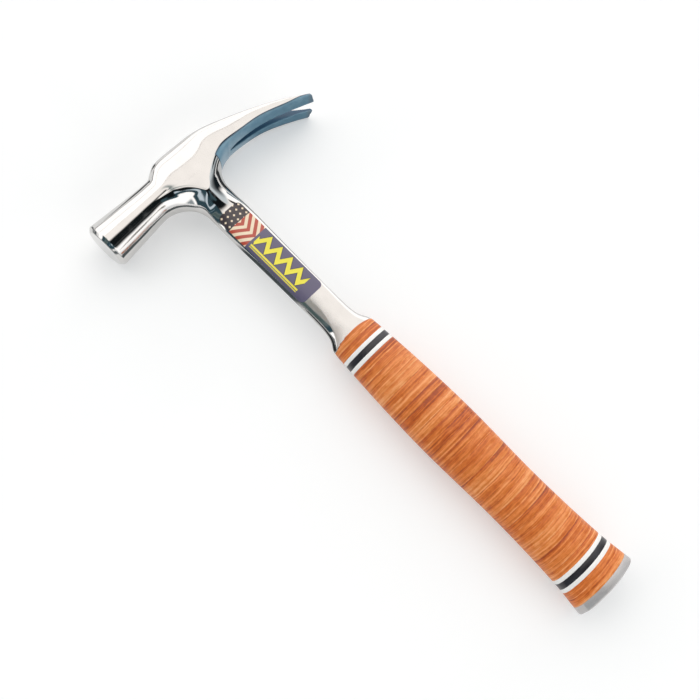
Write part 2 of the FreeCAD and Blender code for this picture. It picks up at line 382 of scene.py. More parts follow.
def surface_net(field, xs, ys, zs):
    """Vertices and quads of the zero surface on a grid, one vertex in each crossed cell."""
    grid = np.empty((len(xs), len(ys), len(zs)), np.float32)
    flat_y, flat_z = np.meshgrid(ys, zs, indexing="ij")
    for i, x in enumerate(xs):
        grid[i] = field(np.full(flat_y.shape, x), flat_y, flat_z)
    inside = grid < 0
    axes = (xs, ys, zs)
    shape = tuple(len(a) - 1 for a in axes)
    total = np.zeros(shape + (3,))
    count = np.zeros(shape)
    corners = [(i, j, k) for i in (0, 1) for j in (0, 1) for k in (0, 1)]

    def part(data, corner):
        return data[tuple(slice(c, c + s) for c, s in zip(corner, shape))]

    def laid_along(values, axis):
        return values.reshape([-1 if i == axis else 1 for i in range(3)])

    for axis in range(3):
        for corner in corners:
            if corner[axis]:
                continue
            other = tuple(c + (i == axis) for i, c in enumerate(corner))
            low, high = part(grid, corner), part(grid, other)
            crossed = (low < 0) != (high < 0)
            share = np.where(crossed, low / np.where(crossed, low - high, 1), 0)
            for i in range(3):
                starts = laid_along(axes[i][corner[i] : corner[i] + shape[i]], i)
                place = np.broadcast_to(starts, shape)
                if i == axis:
                    place = place + share * laid_along(np.diff(axes[i]), i)
                total[..., i] += np.where(crossed, place, 0)
            count += crossed
    used = count > 0
    number = np.full(shape, -1)
    number[used] = np.arange(used.sum())
    vertices = total[used] / count[used][:, None]
    faces = []
    for axis in range(3):
        a, b = (axis + 1) % 3, (axis + 2) % 3
        first = tuple(slice(0, -1) if i == axis else slice(1, -1) for i in range(3))
        second = tuple(slice(1, None) if i == axis else slice(1, -1) for i in range(3))
        low, high = inside[first], inside[second]
        for leaving in (True, False):
            hit = np.argwhere((low & ~high) if leaving else (~low & high))
            hit[:, a] += 1
            hit[:, b] += 1
            ring = []
            for da, db in ((0, 0), (-1, 0), (-1, -1), (0, -1)):
                cell = hit.copy()
                cell[:, a] += da
                cell[:, b] += db
                ring.append(number[tuple(cell.T)])
            quad = np.stack(ring, 1)
            faces.append(quad if leaving else quad[:, ::-1])
    return vertices, np.concatenate(faces)


def relax(field, vertices, faces, rounds):
    """Evens out the net: vertices move towards their neighbours' mean, then to the surface."""
    edges = np.concatenate([faces[:, [i, (i + 1) % 4]] for i in range(4)])
    for _ in range(rounds):
        total = np.zeros_like(vertices)
        count = np.zeros(len(vertices))
        for a, b in ((0, 1), (1, 0)):
            np.add.at(total, edges[:, a], vertices[edges[:, b]])
            np.add.at(count, edges[:, a], 1)
        vertices = vertices + 0.5 * (total / count[:, None] - vertices)
        vertices = settle(field, vertices, rounds=1, reach=0.3)
    return vertices


def new_mesh(name, vertices, faces):
    mesh = bpy.data.meshes.new(name)
    mesh.from_pydata(to_row(vertices).tolist(), [], [list(map(int, f)) for f in faces])
    mesh.validate()
    piece = bpy.data.objects.new(name, mesh)
    scene.collection.objects.link(piece)
    for polygon in mesh.polygons:
        polygon.use_smooth = True
    return piece


def point_attribute(piece, name, values):
    layer = piece.data.attributes.new(name, "FLOAT", "POINT")
    layer.data.foreach_set("value", np.asarray(values, np.float32))


# Materials. Colours are written as they look on a screen, in steps of 255.
def seen(red, green, blue):
    def linear(step):
        share = step / 255
        return share / 12.92 if share <= 0.04045 else ((share + 0.055) / 1.055) ** 2.4

    return (linear(red), linear(green), linear(blue), 1.0)


def new_material(name):
    material = bpy.data.materials.new(name)
    material.use_nodes = True
    tree = material.node_tree
    return material, tree, tree.nodes["Principled BSDF"]


def feed(tree, socket, value):
    if isinstance(value, bpy.types.NodeSocket):
        tree.links.new(value, socket)
    else:
        socket.default_value = value


def give(tree, node, **values):
    """Sets a node's inputs by name, with _ for a space: numbers, colours or other outputs."""
    for name, value in values.items():
        feed(tree, node.inputs[name.replace("_", " ")], value)


def work(tree, operation, *values):
    """One step of sums; values are numbers or other steps' results."""
    made = tree.nodes.new("ShaderNodeMath")
    made.operation = operation
    for socket, value in zip(made.inputs, values):
        feed(tree, socket, value)
    return made.outputs[0]


def plus(tree, first, second):
    return work(tree, "ADD", first, second)


def minus(tree, first, second):
    return work(tree, "SUBTRACT", first, second)


def times(tree, first, second):
    return work(tree, "MULTIPLY", first, second)


def apart(tree, value, place):
    """How far a value is from a place, on either side."""
    return work(tree, "ABSOLUTE", minus(tree, value, place))


def rise(tree, value, low, high):
    """0 below low, 1 above high, and smooth between; low may lie above high."""
    made = tree.nodes.new("ShaderNodeMapRange")
    made.interpolation_type = "SMOOTHSTEP"
    start, end = (1.0, 0.0) if low > high else (0.0, 1.0)
    give(tree, made, Value=value, From_Min=min(low, high), From_Max=max(low, high))
    give(tree, made, To_Min=start, To_Max=end)
    return made.outputs["Result"]


def blend_colour(tree, share, first, second):
    made = tree.nodes.new("ShaderNodeMix")
    made.data_type = "RGBA"
    feed(tree, made.inputs[0], share)
    feed(tree, made.inputs[6], first)
    feed(tree, made.inputs[7], second)
    return made.outputs[2]


def places(tree):
    """The surface point in the hammer's own millimetres: whole, and as x, y and z."""
    coordinates = tree.nodes.new("ShaderNodeTexCoord")
    shift = tree.nodes.new("ShaderNodeVectorMath")
    shift.operation = "SUBTRACT"
    tree.links.new(coordinates.outputs["Object"], shift.inputs[0])
    shift.inputs[1].default_value = hammer_origin
    scale = tree.nodes.new("ShaderNodeVectorMath")
    scale.operation = "SCALE"
    tree.links.new(shift.outputs[0], scale.inputs[0])
    scale.inputs["Scale"].default_value = 1 / MM
    split = tree.nodes.new("ShaderNodeSeparateXYZ")
    tree.links.new(scale.outputs[0], split.inputs[0])
    return scale.outputs[0], split.outputs[0], split.outputs[1], split.outputs[2]


def join(tree, x, y, z):
    made = tree.nodes.new("ShaderNodeCombineXYZ")
    for socket, value in zip(made.inputs, (x, y, z)):
        feed(tree, socket, value)
    return made.outputs[0]


def noise(tree, vector, scale, detail, roughness):
    made = tree.nodes.new("ShaderNodeTexNoise")
    give(tree, made, Vector=vector, Scale=scale, Detail=detail, Roughness=roughness)
    return made.outputs["Fac"]


def colour_ramp(tree, value, stops):
    made = tree.nodes.new("ShaderNodeValToRGB")
    tree.links.new(value, made.inputs["Fac"])
    elements = made.color_ramp.elements
    while len(elements) < len(stops):
        elements.new(0.5)
    for element, (place, colour) in zip(elements, stops):
        element.position = place
        element.color = colour
    return made.outputs["Color"]


def bump(tree, height, strength, distance):
    made = tree.nodes.new("ShaderNodeBump")
    give(tree, made, Strength=strength, Distance=distance, Height=height)
    return made.outputs["Normal"]


def attribute(tree, name):
    made = tree.nodes.new("ShaderNodeAttribute")
    made.attribute_name = name
    return made.outputs["Fac"]


def steel_material():
    """Mirror-polished steel, with paint where the attribute paint is above zero, worn where
    wear is near 1, and with painted shade that darkens the paint on the nail slot's walls."""
    material, tree, steel = new_material("polished_forged_steel")
    point, x, y, z = places(tree)
    cloud = noise(tree, point, scale=0.09, detail=3.0, roughness=0.55)
    steel_colour = colour_ramp(
        tree, cloud, ((0.3, seen(204, 202, 200)), (0.7, seen(210, 208, 206)))
    )
    drawn_out = join(tree, times(tree, x, 0.2), y, z)
    smear = noise(tree, drawn_out, scale=0.35, detail=4.0, roughness=0.6)
    rough = plus(tree, 0.035, times(tree, smear, 0.07))
    waves = noise(tree, point, scale=0.055, detail=1.0, roughness=0.4)
    relief = bump(tree, waves, strength=0.10, distance=0.004)
    give(tree, steel, Base_Color=steel_colour, Metallic=1.0, Roughness=rough, Normal=relief)

    paint = tree.nodes.new("ShaderNodeBsdfPrincipled")
    tone = noise(tree, point, scale=0.22, detail=3.0, roughness=0.6)
    blues = (
        (0.25, seen(103, 142, 165)),
        (0.55, seen(115, 153, 174)),
        (0.8, seen(129, 166, 185)),
    )
    paint_colour = colour_ramp(tree, tone, blues)
    border = attribute(tree, "paint")
    edge = rise(tree, border, 0.9, 0.25)
    paint_colour = blend_colour(tree, edge, paint_colour, seen(62, 84, 102))
    scratches = noise(tree, point, scale=1.3, detail=4.0, roughness=0.7)
    wear = plus(tree, attribute(tree, "wear"), times(tree, scratches, 0.5))
    worn = rise(tree, wear, 0.75, 1.05)
    paint_colour = blend_colour(tree, worn, paint_colour, seen(118, 142, 158))
    # Painted shade: the paint on the nail slot's walls is darkened, as if the recess lay in shadow
    paint_colour = blend_colour(tree, attribute(tree, "slot_painted_shade"), paint_colour, seen(44, 82, 110))
    peel = noise(tree, point, scale=1.1, detail=2.0, roughness=0.5)
    relief = bump(tree, peel, strength=0.12, distance=0.0004)
    give(tree, paint, Base_Color=paint_colour, Roughness=0.32, Normal=relief)
    give(tree, paint, Coat_Weight=0.25, Coat_Roughness=0.12)

    mixed = tree.nodes.new("ShaderNodeMixShader")
    tree.links.new(rise(tree, border, -0.06, 0.06), mixed.inputs[0])
    tree.links.new(steel.outputs[0], mixed.inputs[1])
    tree.links.new(paint.outputs[0], mixed.inputs[2])
    tree.links.new(mixed.outputs[0], tree.nodes["Material Output"].inputs["Surface"])
    return material


def leather_material():
    """Lacquered leather, ground across the edges of its discs. The attributes say how light a
    disc is (tone), where a point lies in its height (level) and how banded it is (band)."""
    material, tree, shader = new_material("stacked_leather")
    point, x, y, z = places(tree)
    tone, level, band = (attribute(tree, name) for name in ("tone", "level", "band"))
    drift = noise(tree, point, scale=0.05, detail=2.0, roughness=0.5)
    along = plus(tree, x, times(tree, drift, 2.4))

    def layer(step, spread, detail):
        """Noise in thin sheets across the grip: its scales along it and across it."""
        sheet = [times(tree, along, step)]
        sheet += [times(tree, way, spread) for way in (y, z)]
        return noise(tree, join(tree, *sheet), scale=1.0, detail=detail, roughness=0.6)

    def near(place, reach, share):
        """A thin line round the grip at a share of a disc's height, broken up along its way."""
        off = apart(tree, level, place)
        return times(tree, rise(tree, off, reach, reach * 0.35), share)

    broad = layer(0.20, 0.012, 2.0)
    fine = layer(1.15, 0.018, 2.0)
    flecks = layer(0.9, 0.22, 4.0)
    mottle = noise(tree, point, scale=0.35, detail=4.0, roughness=0.65)
    breaks = rise(tree, layer(0.10, 0.09, 2.0), 0.40, 0.62)
    value = times(tree, tone, 0.38)
    for part, share in ((broad, 1.05), (fine, 1.2), (flecks, 0.65), (mottle, 0.36)):
        value = plus(tree, value, times(tree, minus(tree, part, 0.5), share))
    shown = plus(tree, 0.25, times(tree, breaks, 0.75))
    seam = near(0.03, 0.17, times(tree, shown, 0.30))
    second_place = plus(tree, 0.42, times(tree, tone, 0.2))
    second = near(second_place, 0.10, times(tree, band, 0.24))
    dark = times(tree, rise(tree, level, 0.5, 0.97), times(tree, band, -0.30))
    for part in (seam, second, dark):
        value = plus(tree, value, part)
    value = plus(tree, value, 0.36)
    browns = (
        (0.08, seen(160, 64, 8)),
        (0.28, seen(196, 89, 18)),
        (0.5, seen(220, 117, 42)),
        (0.72, seen(238, 143, 72)),
        (0.95, seen(252, 174, 112)),
    )
    colour = colour_ramp(tree, value, browns)
    pores = rise(tree, noise(tree, point, scale=1.9, detail=2.0, roughness=0.6), 0.36, 0.26)
    colour = blend_colour(tree, times(tree, pores, 0.4), colour, seen(128, 58, 22))
    rough = plus(tree, 0.40, times(tree, mottle, 0.16))
    drawn_out = join(tree, x, times(tree, y, 0.5), times(tree, z, 0.5))
    grain = noise(tree, drawn_out, scale=1.6, detail=4.0, roughness=0.6)
    height = plus(tree, times(tree, grain, 0.5), times(tree, fine, 0.5))
    relief = bump(tree, height, strength=0.35, distance=0.00035)
    give(tree, shader, Base_Color=colour, Roughness=rough, Normal=relief)
    give(tree, shader, Coat_Weight=0.16, Coat_Roughness=0.24)
    return material


def fibre_material(name, dark, light, roughness):
    """Pressed fibre or plastic, turned smooth with the grip."""
    material, tree, shader = new_material(name)
    point, x, y, z = places(tree)
    cloud = noise(tree, point, scale=0.3, detail=4.0, roughness=0.6)
    colour = colour_ramp(tree, cloud, ((0.3, dark), (0.7, light)))
    pressed = join(tree, times(tree, x, 2.5), y, z)
    grain = noise(tree, pressed, scale=1.0, detail=3.0, roughness=0.6)
    rough = plus(tree, roughness, times(tree, grain, 0.12))
    relief = bump(tree, grain, strength=0.15, distance=0.0002)
    give(tree, shader, Base_Color=colour, Roughness=rough, Normal=relief)
    give(tree, shader, Coat_Weight=0.3, Coat_Roughness=0.2)
    return material


def cap_material():
    """Satin metal, brushed round the edge."""
    material, tree, shader = new_material("satin_cap_metal")
    _, x, y, z = places(tree)
    brushed = join(tree, times(tree, x, 5.0), times(tree, y, 0.25), z)
    brush = noise(tree, brushed, scale=1.0, detail=4.0, roughness=0.65)
    colour = colour_ramp(
        tree, brush, ((0.25, seen(192, 188, 187)), (0.75, seen(214, 211, 210)))
    )
    rough = plus(tree, 0.48, times(tree, brush, 0.16))
    relief = bump(tree, brush, strength=0.2, distance=0.00025)
    give(tree, shader, Base_Color=colour, Metallic=1.0, Roughness=rough, Normal=relief)
    return material


# The printed sign on the shank: places in millimetres from its head end and its back edge
sign_head, sign_foot = 300.2, 230.4
sign_back, sign_front = -7.7, 9.0
sign_corner = 3.0
diamond_zone = 9.5
chevron_zone = 22.5
diamond_pitch = 3.3
chevron_pitch = 4.8
zigzag_end = 62.0
zigzag_pitch = 8.4
zigzag_swing = 3.4
zigzag_offset = 1.6
zigzag_margin = 1.6


def sign_material():
    """Gloss film with a generic print: diamonds, chevrons and a zigzag."""
    material, tree, shader = new_material("printed_sign")
    point, x, y, _ = places(tree)
    s = minus(tree, sign_head, x)
    t = minus(tree, y, sign_back)
    middle = (sign_front - sign_back) / 2
    fade = 0.12

    def from_cell_middle(value, pitch, shift=0.0):
        """How far along its cell a value is from the middle, as a share of the pitch."""
        share = plus(tree, work(tree, "DIVIDE", value, pitch), shift)
        return apart(tree, work(tree, "FRACT", share), 0.5)

    def both(first, second):
        return times(tree, first, second)

    violet, charcoal, cream = seen(99, 88, 121), seen(60, 50, 55), seen(247, 226, 196)
    red, yellow, ink = seen(190, 76, 56), seen(246, 232, 62), seen(52, 42, 56)
    cloud = noise(tree, point, scale=0.12, detail=3.0, roughness=0.5)
    ground = blend_colour(tree, cloud, violet, seen(92, 91, 112))

    row = work(tree, "FLOOR", work(tree, "DIVIDE", t, diamond_pitch))
    stagger = times(tree, work(tree, "MODULO", row, 2.0), 0.5)
    across = from_cell_middle(t, diamond_pitch)
    along = from_cell_middle(s, diamond_pitch, stagger)
    diamonds = rise(tree, plus(tree, across, along), 0.27, 0.21)
    top = blend_colour(tree, diamonds, charcoal, cream)

    lean = plus(tree, s, times(tree, apart(tree, t, middle), 0.75))
    chevrons = rise(tree, from_cell_middle(lean, chevron_pitch), 0.24, 0.28)
    bands = blend_colour(tree, chevrons, red, cream)

    wave = from_cell_middle(s, zigzag_pitch)
    crest = times(tree, minus(tree, wave, 0.25), 4 * zigzag_swing)
    off = apart(tree, minus(tree, t, middle - zigzag_offset), crest)
    begin = chevron_zone + zigzag_margin
    started = rise(tree, s, begin, begin + fade)
    field = both(started, rise(tree, s, zigzag_end, zigzag_end - fade))
    print_colour = blend_colour(tree, both(field, rise(tree, off, 3.1, 2.95)), ground, ink)
    print_colour = blend_colour(tree, both(field, rise(tree, off, 2.45, 2.3)), print_colour, yellow)
    for line, half in ((middle + 5.0, 0.5), (middle + 6.3, 0.2)):
        bar = both(field, rise(tree, apart(tree, t, line), half + fade, half))
        print_colour = blend_colour(tree, bar, print_colour, yellow)

    for zone, pattern in ((chevron_zone, bands), (diamond_zone, top)):
        inside = rise(tree, s, zone + fade, zone)
        print_colour = blend_colour(tree, inside, print_colour, pattern)
    ripple = noise(tree, point, scale=0.5, detail=2.0, roughness=0.5)
    relief = bump(tree, ripple, strength=0.1, distance=0.0004)
    give(tree, shader, Base_Color=print_colour, Roughness=0.3, Normal=relief)
    give(tree, shader, Coat_Weight=0.5, Coat_Roughness=0.08)
    return material


steel = steel_material()
leather = leather_material()
white_fibre = fibre_material(
    "white_spacer_fibre", seen(249, 246, 242), seen(255, 253, 250), roughness=0.34
)
black_fibre = fibre_material(
    "black_spacer_fibre", seen(24, 22, 28), seen(42, 40, 46), roughness=0.3
)
cap_metal = cap_material()
sign_print = sign_material()


# Camera, fitted to the outline in the photograph: its place, what it looks at, and its roll
camera_data = bpy.data.cameras.new("camera")
camera_data.lens = 47.82
camera_data.sensor_width = 36.0
camera_data.clip_start = 0.01
camera = bpy.data.objects.new("camera", camera_data)
scene.collection.objects.link(camera)
camera_place = Vector((147.992, 137.598, 511.65))
camera_aim = Vector((193.249, 7.195, 0.0))
camera_roll = -0.7874


def place_camera():
    forward = (camera_aim - camera_place).normalized()
    right = forward.cross(Vector((1, 0, 0))).normalized()
    up = right.cross(forward)
    turned_right = math.cos(camera_roll) * right + math.sin(camera_roll) * up
    turned_up = -math.sin(camera_roll) * right + math.cos(camera_roll) * up
    rotation = Matrix((turned_right, turned_up, -forward)).transposed()
    camera.matrix_world = Matrix.Translation(camera_place * MM + hammer_origin) @ rotation.to_4x4()


place_camera()
scene.camera = camera


# Forging
tang_end = 0.1
tang_end_round = 0.25
tang_top = 200.5
tang_corner = 0.6
paint_start = -15.5
slot_paint_lead = 3
slot_paint_depth = 1.2
crown_gap = 0.35
wear_start = 76.0
no_paint = -9.0
no_slot_paint = -5.0

# The net's limits: coarse along the shank up to net_fine_from, then fine. The small shifts keep
# its planes off the symmetry plane and off the places in the tables
net_start = grip_top - 4.5
net_fine_from, net_end = 284, 352
net_back, net_front, net_shift_y = -88, 70, 0.013
net_low, net_high, net_shift_z = -16, 16.01, 0.007

# The paint's border on the claw's side: its height x at places along y
border_rows = (
    (-90.0, 319.0),
    (-84.0, 318.0),
    (-79.0, 320.2),
    (-71.0, 322.8),
    (-61.0, 326.1),
    (-51.0, 328.8),
    (-41.0, 329.8),
    (-32.0, 330.2),
    (-24.0, 330.3),
    (-17.0, 328.6),
    (-8.0, 322.0),
)
border_line = spline(border_rows)


def tang_bar():
    """The tang inside the grip: a bar with its corners taken off, closed at both ends."""
    w, t, c = tang_width / 2, tang_thickness / 2, tang_corner
    ring = [(w, t - c), (w - c, t), (c - w, t), (-w, t - c)]
    ring += [(-w, c - t), (c - w, -t), (w - c, -t), (w, c - t)]
    round_top = tang_end + tang_end_round
    stations = ((tang_end, tang_end_round), (round_top, 0.0), (tang_top, 0.0))
    points = []
    for x, inset in stations:
        points += [(x, y * (1 - inset / w), z * (1 - inset / t)) for y, z in ring]
    n = len(ring)
    quads = []
    for level in range(len(stations) - 1):
        for i in range(n):
            j = (i + 1) % n
            quads.append([level * n + i, level * n + j, (level + 1) * n + j, (level + 1) * n + i])
    ends = [list(range(n))[::-1], [(len(stations) - 1) * n + i for i in range(n)]]
    return points, quads, ends


def paint_distance(points):
    """Above zero where the claw's underside and its slot are painted."""
    x, y, z = points.T
    under = border_line(y) - x
    start = paint_start - y
    on_underside = np.minimum(under, start)
    near_wall = slot_paint_depth - np.abs(slot_distance(x, y, z))
    in_slot = np.where(y < slot_paint_lead - slot_root_reach, near_wall, no_slot_paint)
    below_crown = claw_top(y) - crown_gap - x
    return np.maximum(on_underside, np.minimum(in_slot, below_crown))


def build_forging():
    """Head and shank as one net, with the tang as a closed bar in the same piece."""
    step = 0.5
    along_shank = np.arange(net_start, net_fine_from, 1.5 * step)
    xs = np.concatenate([along_shank, np.arange(net_fine_from, net_end, step)])
    ys = np.arange(net_back, net_front, step) + net_shift_y
    zs = np.arange(net_low, net_high, step) + net_shift_z
    vertices, faces = surface_net(forging_distance, xs, ys, zs)
    vertices = settle(forging_distance, vertices, rounds=3, reach=0.4)
    vertices = relax(forging_distance, vertices, faces, rounds=4)
    vertices = settle(forging_distance, vertices, rounds=2, reach=0.4)
    normals = gradient(forging_distance, vertices, step=0.1)
    normals /= np.linalg.norm(normals, axis=1, keepdims=True)
    bar_points, bar_quads, bar_ends = tang_bar()
    start = len(vertices)
    all_points = np.concatenate([vertices, np.array(bar_points)])
    all_faces = faces.tolist() + [[start + i for i in face] for face in bar_quads + bar_ends]
    piece = new_mesh("forged_hammer_body", all_points, all_faces)
    bar_normals = np.array([(0.0, y, z) for x, y, z in bar_points])
    bar_normals /= np.linalg.norm(bar_normals, axis=1, keepdims=True)
    all_normals = np.concatenate([normals, bar_normals])
    piece.data.normals_split_custom_set_from_vertices(all_normals.tolist())
    bare = np.full(len(bar_points), no_paint)
    point_attribute(piece, "paint", np.append(paint_distance(vertices), bare))
    x, y, z = all_points.T
    # Painted shade on the nail slot's walls, inside the claw and past the slot's root, for
    # darkening the paint there
    wall = smooth_step(0.7 - np.abs(slot_distance(x, y, z)), 0, 0.4)
    inside_claw = smooth_step(x - claw_bottom(y), 0.2, 0.9)
    past_root = y < slot_paint_lead - slot_root_reach
    point_attribute(piece, "slot_painted_shade", wall * inside_claw * past_root)
    point_attribute(piece, "wear", smooth_step(-y, wear_start, claw_reach))
    piece.data.materials.append(steel)
    return piece


forging = build_forging()
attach(forging, "root")
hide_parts("forged_head_and_shank")


# Grip. Sizes at shares of its height, from the butt: width and thickness
grip_rows = (
    (0.0, 42.8, 28.6),
    (0.11, 37.8, 26.8),
    (0.34, 34.8, 24.8),
    (0.615, 36.5, 25.8),
    (0.815, 34.2, 24.2),
    (1.0, 29.6, 21.0),
)
oval_end_share = 0.76
slot_gap = 0.2
around = 144
edge_steps = 3
sharp_angle = math.radians(35)
cap_cuts = ((math.radians(26), 0.5), (math.radians(72), 0.28))
cap_rounds = (1.0, 0.15)
ring_rounds = (0.12, 0.12)
washer_round_range = (0.12, 0.24)


def grip_half(height, column):
    """Half the width (column 1) or thickness (column 2) of the grip at a height."""
    stations = [grip_top * row[0] for row in grip_rows]
    sizes = [row[column] for row in grip_rows]
    span = max(i for i in range(len(stations) - 1) if stations[i] <= height or i == 0)

    def slope(i):
        low, high = max(i - 1, 0), min(i + 1, len(stations) - 1)
        return (sizes[high] - sizes[low]) / (stations[high] - stations[low])

    length = stations[span + 1] - stations[span]
    t = (height - stations[span]) / length
    value = (2 * t**3 - 3 * t**2 + 1) * sizes[span] + (t**3 - 2 * t**2 + t) * length * slope(span)
    value += (3 * t**2 - 2 * t**3) * sizes[span + 1] + (t**3 - t**2) * length * slope(span + 1)
    return value / 2


def grip_ring(height, inset):
    """Points round the grip's oval at a height, drawn in by inset."""
    width, thickness = grip_half(height, 1), grip_half(height, 2)
    end_radius = oval_end_share * thickness
    end_centre = width - end_radius
    side_radius = (end_centre**2 + thickness**2 - end_radius**2) / (2 * (thickness - end_radius))
    lean = math.atan2(end_centre, side_radius - thickness)
    points = []
    for i in range(around):
        turn = 2 * math.pi * i / around
        c, s = math.cos(turn), math.sin(turn)
        if abs(s) < math.cos(lean):
            y = math.copysign(end_centre, c) + end_radius * c
            z = end_radius * s
        else:
            y = side_radius * c
            z = side_radius * s - math.copysign(side_radius - thickness, s)
        points.append((y - inset * c, z - inset * s))
    return points


def slot_ring(outline):
    """Points of the tang's slot in the same directions as the outline's points."""
    half_width, half_height = tang_width / 2 + slot_gap, tang_thickness / 2 + slot_gap
    points = []
    for y, z in outline:
        reach = max(abs(y) / half_width, abs(z) / half_height)
        points.append((y / reach, z / reach))
    return points


def cut_facet(ring, angle, depth):
    """A ring of points planed flat to a depth, square to one direction."""
    c, s = math.cos(angle), math.sin(angle)
    limit = max(y * c + z * s for y, z in ring) - depth
    over = [max(y * c + z * s - limit, 0) for y, z in ring]
    return [(y - cut * c, z - cut * s) for (y, z), cut in zip(ring, over)]


def arched(ring, height, arch):
    """A ring at a height, bent down by arch at the shank's two edges."""
    return [(height - arch * (y / shank_root_half) ** 2, y, z) for y, z in ring]


def build_slice(name, bottom, top, low_round, high_round, material, facets=(), arch=0.0):
    """A closed slice of the grip with a slot for the tang and its two edges rounded."""
    turns = [math.pi / 2 * i / edge_steps for i in range(edge_steps + 1)]
    stations = []
    for turn in turns:
        rest, inset = 1 - math.cos(turn), 1 - math.sin(turn)
        stations.append((bottom + low_round * rest, low_round * inset))
    for turn in turns:
        rest, inset = 1 - math.sin(turn), 1 - math.cos(turn)
        stations.append((top - high_round * rest, high_round * inset))
    rings = []
    for height, inset in stations:
        ring = grip_ring(height, inset)
        for angle, depth in facets:
            ring = cut_facet(ring, angle, depth)
        rings.append(arched(ring, height, arch * max(height - bottom, 0) / (top - bottom)))
    low_slot = arched(slot_ring([p[1:] for p in rings[0]]), bottom, 0.0)
    high_slot = arched(slot_ring([p[1:] for p in rings[-1]]), top, arch)
    loops = [low_slot] + rings + [high_slot]
    points = [p for loop in loops for p in loop]
    faces = []
    for level in range(len(loops)):
        start, following = level * around, (level + 1) % len(loops) * around
        for i in range(around):
            j = (i + 1) % around
            faces.append([start + i, start + j, following + j, following + i])
    piece = new_mesh(name, points, faces)
    piece.data.set_sharp_from_angle(angle=sharp_angle)
    piece.data.materials.append(material)
    return piece


def build_grip():
    """One piece for each disc, ring and the cap, each in the place of its own node."""
    random = np.random.default_rng(7)
    names = sorted(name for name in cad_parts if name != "forged_head_and_shank")
    top_washer = max(name for name in names if name.startswith("leather"))
    for name in names:
        low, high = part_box(name)
        bottom = (low.x - hammer_origin.x) / MM
        top = (high.x - hammer_origin.x) / MM
        bottom, top = max(bottom, 0.0), min(top, grip_top)
        piece_name = name + "_dressed"
        if name == "butt_cap":
            piece = build_slice(piece_name, bottom, top, *cap_rounds, cap_metal, cap_cuts)
        elif "ring_white" in name:
            piece = build_slice(piece_name, bottom, top, *ring_rounds, white_fibre)
        elif "ring_black" in name:
            piece = build_slice(piece_name, bottom, top, *ring_rounds, black_fibre)
        else:
            arch = seat_arch if name == top_washer else 0.0
            rounds = [random.uniform(*washer_round_range) for _ in range(2)]
            piece = build_slice(piece_name, bottom, top, *rounds, leather, arch=arch)
        count = len(piece.data.vertices)
        levels = np.array([(v.co.x - low.x) / (high.x - low.x) for v in piece.data.vertices])
        point_attribute(piece, "tone", np.full(count, random.uniform(0, 1)))
        point_attribute(piece, "band", np.full(count, random.uniform(0, 1)))
        point_attribute(piece, "level", levels)
        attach(piece, "root")
        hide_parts(name)


build_grip()


# Sign on the shank's upper side
def build_sign():
    """A thin film that follows the shank's face and wraps on to its front edge."""
    film = 0.09
    start_height = 6.0
    probe = 0.05
    rows_along, rows_across = 90, 34
    length = sign_head - sign_foot
    xs = sign_head - length * (1 - np.cos(np.linspace(0, math.pi, rows_along))) / 2
    top = []
    for x in xs:
        near = min(sign_head - x, x - sign_foot)
        d = max(sign_corner - near, 0)
        inset = sign_corner - math.sqrt(max(sign_corner**2 - d**2, 0))
        share = np.sin(np.linspace(-1, 1, rows_across) * math.pi / 2) * 0.5 + 0.5
        ys = sign_back + inset + share * (sign_front - sign_back - 2 * inset)
        top += [(x, y, start_height) for y in ys]
    top = np.array(top)
    for _ in range(12):
        value = throat_distance(*top.T)
        slope = (throat_distance(top[:, 0], top[:, 1], top[:, 2] + probe) - value) / probe
        top[:, 2] -= np.clip(value / np.maximum(slope, 0.2), -0.6, 0.6)
    normals = gradient(forging_distance, top, step=0.1)
    normals /= np.linalg.norm(normals, axis=1, keepdims=True)
    outer = top + normals * film
    inner = top - normals * film / 2
    count = len(top)
    faces = []
    for i in range(rows_along - 1):
        for j in range(rows_across - 1):
            a = i * rows_across + j
            quad = [a, a + 1, a + rows_across + 1, a + rows_across]
            faces.append(quad)
            faces.append([count + k for k in quad[::-1]])
    rim = list(range(rows_across))
    rim += [i * rows_across + rows_across - 1 for i in range(1, rows_along)]
    rim += [(rows_along - 1) * rows_across + j for j in range(rows_across - 2, -1, -1)]
    rim += [i * rows_across for i in range(rows_along - 2, 0, -1)]
    for a, b in zip(rim, rim[1:] + rim[:1]):
        faces.append([b, a, count + a, count + b])
    piece = new_mesh("shank_sign", np.concatenate([outer, inner]), faces)
    piece.data.set_sharp_from_angle(angle=math.radians(50))
    piece.data.materials.append(sign_print)
    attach(piece, "root")


build_sign()


# Stage: a pale floor, which also fills the view behind the hammer
floor_half = 3.0
floor_grey = 0.72
floor_lift = 0.34


def shown_to_eye(tree):
    """1 for what the camera sees straight, in a mirror or through glass, and 0 for other light."""
    path = tree.nodes.new("ShaderNodeLightPath")
    eye = work(tree, "MAXIMUM", path.outputs["Is Camera Ray"], path.outputs["Is Glossy Ray"])
    return work(tree, "MAXIMUM", eye, path.outputs["Is Transmission Ray"])


def build_stage():
    signs = ((-1, -1), (1, -1), (1, 1), (-1, 1))
    corners = [(a * floor_half, b * floor_half, 0) for a, b in signs]
    mesh = bpy.data.meshes.new("floor")
    mesh.from_pydata(corners, [], [(0, 1, 2, 3)])
    floor = bpy.data.objects.new("floor", mesh)
    scene.collection.objects.link(floor)
    material, tree, shader = new_material("floor_white")
    colour = (floor_grey, floor_grey, floor_grey, 1)
    lift = times(tree, shown_to_eye(tree), floor_lift)
    give(tree, shader, Base_Color=colour, Roughness=0.9)
    give(tree, shader, Emission_Color=(1, 1, 1, 1), Emission_Strength=lift)
    floor.data.materials.append(material)


build_stage()

